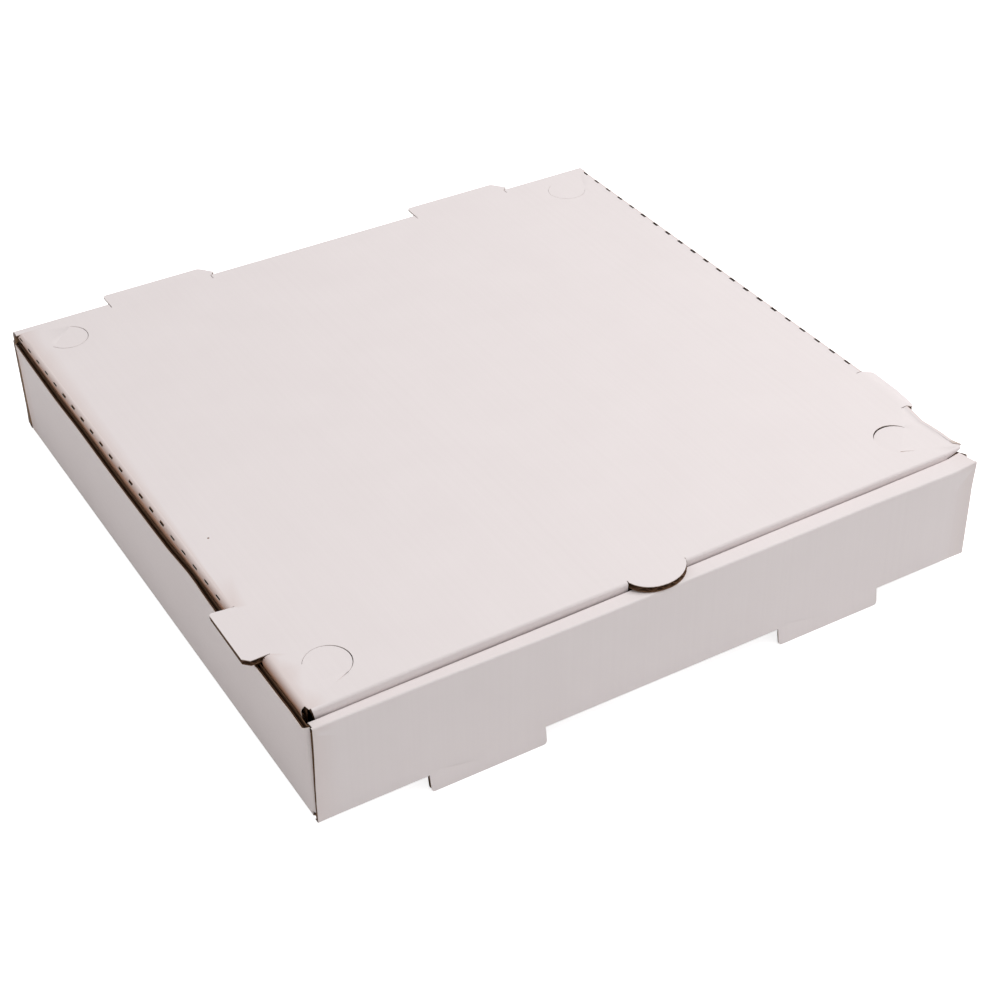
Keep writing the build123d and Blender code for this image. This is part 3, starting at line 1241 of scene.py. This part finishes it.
class Lid(Shell):
    """The lid with its tuck flaps, thumb tab and ears.

    The painted shade down a side flap, brown as from bounce light off the kraft, starts and fades at depths
    under the lid's top.
    The front cuts are places along Y, in millimetres. A size is given along X
    and Y, a lean in degrees.
    """

    body = "lid"
    white_seed = ((0.0, 0.0, BOX.lid_top), (0.0, 0.0, 1.0))
    kraft_seed = ((0.0, 0.0, BOX.lid_top - BOARD.thickness), (0.0, 0.0, -1.0))
    slice_core = True
    flap_zone = 4.5 * MM
    # Painted shade and bounce light on the side flaps: where it starts on each side, its reach and its fade.
    left_shade_start = -0.6 * MM
    right_shade_start = 0.8 * MM
    shade_reach = 3.2 * MM
    shade_fade = (5.0 * MM, 12.0 * MM)
    ear_depth = 3.2 * MM
    side_cuts = (176.0 * MM, 180.1 * MM, 184.0 * MM)
    front_cuts = (-183.8, -180.8, -177.8, -160, -153, -146, -138, -131, -125, -118, -108)
    panel_rows = steps(-100 * MM, 140 * MM, 11)
    rear_cut = 155.0 * MM
    front_margin = 4.5 * MM
    side_margin = 3.9 * MM
    thumb_size = (31.0 * MM, 16.0 * MM)
    side_ear_size = (12.0 * MM, 38.0 * MM)
    rear_ear_length = 15.0 * MM
    flap_depth = (4.2 * MM, 44.6 * MM)
    side_lean = 5.0
    side_bend = 1.58 * MM
    front_lean = 10.0
    front_bend = 1.73 * MM

    def across(self, point: Vector) -> float:
        """Measures across the flutes from the middle, down the side flaps too.

        Args:
            point: A place on the drawn lid.

        Returns:
            The distance.
        """
        flat = BOX.lid_half - BOARD.fold
        if abs(point.x) < flat:
            return point.x
        return math.copysign(max(abs(point.x), flat) + BOX.lid_top - point.z, point.x)

    def crease(self, point: Vector) -> float:
        """Paints shade and brown bounce light on the side flaps, deeper down their creases.

        Args:
            point: A place on the drawn lid.

        Returns:
            How brown it is there, from 0 to 1.
        """
        in_front = point.y < BOX.lid_front + BOX.lid_front_crease
        if in_front or abs(point.x) < BOX.lid_half - self.flap_zone:
            return 0.0
        depth = BOX.lid_top - point.z
        if depth < self.ear_depth and BOX.ear_front - 2 * NEAR < point.y < BOX.ear_rear + 2 * NEAR:
            return 0.0
        # Painted shade: it starts higher on the left flap than on the right one.
        start = self.left_shade_start if point.x < 0 else self.right_shade_start
        brown = ramp_between(depth, start, start + self.shade_reach)
        return brown * (1 - blend_between(depth, *self.shade_fade))

    def slices(self) -> Cuts:
        """Chooses the cuts that let the lid be shaped.

        Returns:
            The axis and the places of each set of cuts.
        """
        crush = LidShape.crush_reach
        ends = (-BOX.tab_half, crush - BOX.tab_half, BOX.tab_half - crush, BOX.tab_half)
        ears = [side * BOX.tab_offset + end for side in (-1, 1) for end in ends]
        front = [place * MM for place in self.front_cuts]
        rear = [self.rear_cut, BOX.rear - BOX.hinge_zone, BOX.rear - LidShape.swing_zone[1], BOX.rear]
        return [
            (0, [*self.panel_cuts, *ears, *self.side_cuts]),
            (1, [*front, *self.panel_rows, *rear]),
            (2, [BOX.lid_top - depth for depth in self.shade_fade]),
        ]

    def beyond(self, centre: Vector, normal: Vector) -> bool:
        """Says whether a face belongs to the hinge's own crease."""
        on_ear = abs(abs(centre.x) - BOX.tab_offset) < BOX.tab_half + NEAR
        return centre.y > BOX.rear - BOX.hinge_zone and not on_ear

    def sheets(self) -> list[FlutedSheet]:
        """Lays out the flat runs of core.

        Returns:
            The panel and the thumb tab, the ears and flaps of each side, and the front flap.
        """
        middle = BOX.lid_top - BOARD.thickness / 2
        low, high = BOX.lid_front + self.front_margin, BOX.rear - BOX.hinge_zone
        edge = BOX.lid_half - self.side_margin
        half_way, ear = (low + high) / 2, (BOX.ear_front + BOX.ear_rear) / 2
        x, y = (1, 0, 0), (0, 1, 0)
        width, length = self.thumb_size
        runs = [
            FlutedSheet((0, half_way, middle), x, y, 2 * edge, high - low),
            FlutedSheet((0, low - length / 2, middle), x, y, width, length, 2),
        ]
        top, foot = (BOX.lid_top - depth for depth in self.flap_depth)
        centre = (top + foot) / 2
        lean = math.radians(self.side_lean)
        out = BOX.lid_half - self.side_bend - (middle - centre) * math.tan(lean)
        width, length = self.side_ear_size
        for side in (-1, 1):
            behind = (side * BOX.tab_offset, high + self.rear_ear_length / 2, middle)
            runs.append(FlutedSheet(behind, x, y, 2 * BOX.tab_half, self.rear_ear_length, 2))
            runs.append(FlutedSheet((side * (edge + width / 2), ear, middle), x, y, width, length, 2))
            up = (side * math.sin(lean), 0, math.cos(lean))
            hung = (top - foot) / math.cos(lean)
            runs.append(FlutedSheet((side * out, half_way, centre), up, y, hung, high - low))
        lean = math.radians(self.front_lean)
        back = BOX.lid_front + self.front_bend + (middle - centre) * math.tan(lean)
        up = (0, -math.sin(lean), math.cos(lean))
        runs.append(FlutedSheet((0, back, centre), x, up, 2 * edge, (top - foot) / math.cos(lean), 3))
        return runs


class Tray(Shell):
    """The base with its walls, corner flaps, feet and locking tabs.

    The browning of the rear's upright folds starts and is full at distances from
    the rear. The corner flaps start and end at distances from the side.
    """

    body = "tray"
    white_seed = ((0.0, 0.0, BOX.base_low), (0.0, 0.0, -1.0))
    kraft_seed = ((0.0, 0.0, BOX.base_low + BOARD.thickness), (0.0, 0.0, 1.0))
    brown_zone = 2.2 * MM
    front_brown = 0.1
    side_brown = 0.06
    rear_brown = 0.24
    brown_run = (20.0 * MM, 5.0 * MM)
    end_cut = 1.2 * MM
    panel_rows = steps(-170 * MM, 160 * MM, 34)
    wall_rows = steps(20 * MM, 60 * MM, 5)
    gap = 0.15 * MM
    strip_gap = 0.2 * MM
    corner_flap = (4.5 * MM, 70.5 * MM)
    lock_offset = 34.0 * MM
    lock_size = (37.9 * MM, 4.0 * MM)
    side_rows = 40

    def across(self, point: Vector) -> float:
        """Measures across the flutes from the middle, up the side walls too.

        Args:
            point: A place on the drawn tray.

        Returns:
            The distance.
        """
        inner = BOX.rear - BOARD.thickness - NEAR / 2
        outer = BOX.front + BOARD.thickness + NEAR / 2
        if abs(point.x) < BOX.half_width - self.corner_flap[1] or not outer < point.y < inner:
            return point.x
        return math.copysign(BOX.half_width + point.z, point.x)

    def crease(self, point: Vector) -> float:
        """Browns the upright folds and the cut ends of the front.

        Args:
            point: A place on the drawn tray.

        Returns:
            How brown it is there, from 0 to 1.
        """
        if abs(point.x) < BOX.half_width - self.brown_zone:
            return 0.0
        if point.y < BOX.front + NEAR:
            return self.front_brown
        start, full = (BOX.rear - distance for distance in self.brown_run)
        return self.side_brown + self.rear_brown * blend_between(point.y, start, full)

    def slices(self) -> Cuts:
        """Chooses the cuts that let the tray be shaped.

        Returns:
            The axis and the places of each set of cuts.
        """
        ends = [side * (BOX.half_width - self.end_cut) for side in (-1, 1)]
        return [
            (0, [*self.panel_cuts, *ends]),
            (1, self.panel_rows),
            (2, [*self.wall_rows, BOX.lid_top - BOX.hinge_zone]),
        ]

    def beyond(self, centre: Vector, normal: Vector) -> bool:
        """Says whether a face belongs to the hinge's own crease."""
        return centre.z > BOX.lid_top - BOX.hinge_zone and centre.y > BOX.rear - 2 * BOARD.fold

    def sheets(self) -> list[FlutedSheet]:
        """Lays out the flat runs of core.

        Returns:
            The base and the long walls, then the foot, lock, wall and flaps of each side.
        """
        half = BOARD.thickness / 2
        x, y, z = (1, 0, 0), (0, 1, 0), (0, 0, 1)
        low, high = BOX.base_low + BOARD.fold, BOX.front_top - BOARD.fold
        step = BOARD.thickness + self.gap
        inner = BOX.front + 2 * step + half
        roof = BOX.lid_top - BOX.hinge_zone
        middle, width, depth = (BOX.front + BOX.rear) / 2, 2 * BOX.half_width, BOX.rear - BOX.front
        runs = [
            FlutedSheet(
                (0, middle, BOX.base_low + half), x, y, width - 2 * BOARD.fold, depth - 2 * BOARD.fold
            ),
            FlutedSheet((0, BOX.front + half, (low + high) / 2), x, z, width, high - low),
            FlutedSheet((0, inner, (low + high) / 2), x, z, width, high - low),
            FlutedSheet((0, BOX.rear - half, (low + roof) / 2), x, z, width, roof - low),
        ]
        rise = BOX.side_top - low
        wall = BOX.half_width - half + BOX.side_lean / 2
        start, end = self.corner_flap
        flap = BOX.half_width - (start + end) / 2
        front_flap = (BOX.front + step + half, BOX.front_top - BOARD.thickness - self.strip_gap)
        rear_flap = (BOX.rear - step - half, BOX.side_top)
        lock, drop = self.lock_size
        for side in (-1, 1):
            foot = (side * BOX.tab_offset, BOX.front + half, low / 2)
            runs.append(FlutedSheet(foot, x, z, 2 * BOX.tab_half, low, 2))
            runs.append(FlutedSheet((side * self.lock_offset, inner, low - drop / 2), x, z, lock, drop, 2))
            runs.append(
                FlutedSheet(
                    (side * wall, middle, low + rise / 2), (side * BOX.side_lean, 0, rise), y,
                    math.hypot(BOX.side_lean, rise), depth - 2 * (step + BOARD.fold), self.side_rows,
                )
            )
            for place, roof in (front_flap, rear_flap):
                runs.append(
                    FlutedSheet((side * flap, place, (low + roof) / 2), z, x, roof - low, end - start, 3)
                )
        return runs


@dataclass(frozen=True)
class HingeCrease:
    """The lid's rear crease, where the sheet bends as the lid opens."""

    bend_steps: int = 8
    columns: int = 6
    merge: float = 0.001 * MM

    def spans(self) -> list[tuple[float, float]]:
        """Finds the stretches of crease beside and between the rear ears.

        Returns:
            Both ends of each, along X.
        """
        inner = BOX.tab_offset - BOX.tab_half - BOX.die_cut
        outer = BOX.tab_offset + BOX.tab_half + BOX.die_cut
        return [(-BOX.half_width, -outer), (-inner, inner), (outer, BOX.half_width)]

    def strip(self, span: tuple[float, float], depth: float) -> Piece:
        """Bends one liner round the crease.

        Args:
            span: The ends along X.
            depth: How far the liner lies under the outer face.

        Returns:
            The strip, from the rear wall to the lid.
        """
        start, bend = BOX.lid_top - BOX.hinge_zone, BOX.lid_top - BOARD.fold
        middle, half_way = (span[0] + span[1]) / 2, (start + bend) / 2
        strip = flat_grid(self.columns, 1, span[1] - span[0], bend - start)
        reshape(strip, lambda p: Vector((middle + p.x, BOX.rear - depth, half_way + p.y)))
        edit(strip, "EDGE", "DESELECT")
        object_mode()
        for edge in strip.data.edges:
            edge.select = all(strip.data.vertices[i].co.z > half_way for i in edge.vertices)
        bpy.ops.object.mode_set(mode="EDIT")
        centre = (0, BOX.rear - BOARD.fold, bend)
        bpy.ops.mesh.spin(steps=self.bend_steps, angle=-math.pi / 2, center=centre, axis=(1, 0, 0))
        bpy.ops.mesh.extrude_region_move(TRANSFORM_OT_translate={"value": (0, -(bend - start), 0)})
        bpy.ops.mesh.select_all(action="SELECT")
        bpy.ops.mesh.remove_doubles(threshold=self.merge)
        object_mode()
        outward = 1 if depth == 0 else -1
        if strip.data.polygons[0].normal.y * outward < 0:
            edit(strip)
            bpy.ops.mesh.flip_normals()
            object_mode()
        return strip

    def build(self, finishes: Finishes) -> list[Piece]:
        """Makes both liners of the crease.

        Args:
            finishes: The finishes of the box.

        Returns:
            The white liner and the brown one.
        """
        made = []
        for side, depth in ((Side.WHITE, 0.0), (Side.KRAFT, BOARD.thickness)):
            strips = [self.strip(span, depth) for span in self.spans()]
            strip = join(strips, f"hinge_crease_{side.value}_liner")
            store(strip, "across", lambda p: p.x)
            white = side is Side.WHITE
            dress(strip, [finishes.white, finishes.white_edge] if white else [finishes.kraft, finishes.edge])
            solidify(strip, BOARD.liner, 1)
            smooth(strip)
            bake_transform(strip)
            made.append(strip)
        return made


@dataclass(frozen=True)
class Camera:
    """The photograph's point of view."""

    place: Point = (-0.4172, -0.7557, 0.6297)
    ahead: Point = (0.4027, 0.6987, -0.5913)
    right: Point = (0.8607, -0.5090, -0.0153)
    focal: float = 72.01
    sensor: float = 36.0
    nearest: float = 0.01
    farthest: float = 50.0

    def build(self) -> Piece:
        """Sets up the scene's camera.

        Returns:
            The camera object.
        """
        data = bpy.data.cameras.new("photograph")
        data.sensor_width = self.sensor
        data.lens = self.focal
        data.clip_start = self.nearest
        data.clip_end = self.farthest
        camera = bpy.data.objects.new("photograph", data)
        bpy.context.scene.collection.objects.link(camera)
        back = -Vector(self.ahead).normalized()
        up = back.cross(Vector(self.right)).normalized()
        side = up.cross(back)
        turn = Matrix((side, up, back)).transposed().to_4x4()
        camera.matrix_world = Matrix.Translation(self.place) @ turn
        bpy.context.scene.camera = camera
        return camera


@dataclass(frozen=True)
class Studio:
    """White table and soft light. The slope is the feet's height over the box's depth."""

    slope: float = 8.4 / 361.4
    table_size: float = 14.0
    table_gap: float = 0.1 * MM
    table_grey: float = 0.86
    table_roughness: float = 0.9
    table_glow: float = 0.8
    world_light: float = 0.46
    key_place: Point = (0.66, -0.25, 1.55)
    key_size: float = 1.2
    key_power: float = 17.6

    def build(self) -> None:
        """Sets up the table, the world and the lamp."""
        self.table()
        self.world()
        self.lamp("key", self.key_place, self.key_size, self.key_power)

    def table(self) -> None:
        """Makes the table top, which touches the feet and the rear edge."""
        object_mode()
        bpy.ops.object.select_all(action="DESELECT")
        bpy.ops.mesh.primitive_plane_add(size=self.table_size)
        table = bpy.context.object
        table.name = "table_top"
        reshape(table, lambda p: Vector((p.x, p.y, (p.y - BOX.front) * self.slope - self.table_gap)))
        recipe = Recipe("table_white")
        recipe.shader.inputs["Base Color"].default_value = (*3 * (self.table_grey,), 1)
        recipe.shader.inputs["Roughness"].default_value = self.table_roughness
        glow = recipe.add("ShaderNodeEmission")
        lift = recipe.add("ShaderNodeMath", operation="MULTIPLY")
        lift.inputs[1].default_value = self.table_glow
        both = recipe.add("ShaderNodeAddShader")
        recipe.link(recipe.in_view(), "Value", lift, 0)
        recipe.link(lift, "Value", glow, "Strength")
        recipe.link(recipe.shader, "BSDF", both, 0)
        recipe.link(glow, "Emission", both, 1)
        recipe.link(both, "Shader", recipe.output, "Surface")
        dress(table, [recipe.material])

    def world(self) -> None:
        """Lights everything evenly and shows white behind the table."""
        world = bpy.data.worlds.new("studio")
        bpy.context.scene.world = world
        world.use_nodes = True
        tree = NodeTree(world.node_tree)
        output = tree.add("ShaderNodeOutputWorld")
        mix = tree.add("ShaderNodeMixShader")
        tree.link(tree.in_view(), "Value", mix, "Fac")
        for place, strength in enumerate((self.world_light, 1.0), 1):
            light = tree.add("ShaderNodeBackground")
            light.inputs["Color"].default_value = (*WHITE, 1.0)
            light.inputs["Strength"].default_value = strength
            tree.link(light, "Background", mix, place)
        tree.link(mix, "Shader", output, "Surface")

    def lamp(self, name: str, place: Point, size: float, power: float) -> None:
        """Hangs a square soft lamp that points at the box.

        Args:
            name: The lamp's name.
            place: Where it hangs.
            size: Its side in metres.
            power: In watts.
        """
        data = bpy.data.lights.new(name, "AREA")
        data.size = size
        data.energy = power
        lamp = bpy.data.objects.new(name, data)
        bpy.context.scene.collection.objects.link(lamp)
        lamp.location = place
        lamp.rotation_euler = (-Vector(place)).to_track_quat("-Z", "Y").to_euler()


def main() -> None:
    """Builds the box and the studio, and notes each piece."""
    logging.basicConfig(level=logging.INFO, format="%(name)s: %(message)s")
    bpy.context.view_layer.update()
    bpy.context.scene.view_settings.view_transform = "Standard"
    Camera().build()
    Studio().build()
    finishes = Finishes()
    lid, tray = Lid(finishes, LidShape()), Tray(finishes, TrayShape())
    for piece in (*lid.build(), *tray.build(), *HingeCrease().build(finishes)):
        LOG.info("%s: %d faces", piece.name, len(piece.data.polygons))


if __name__ == "__main__":
    main()
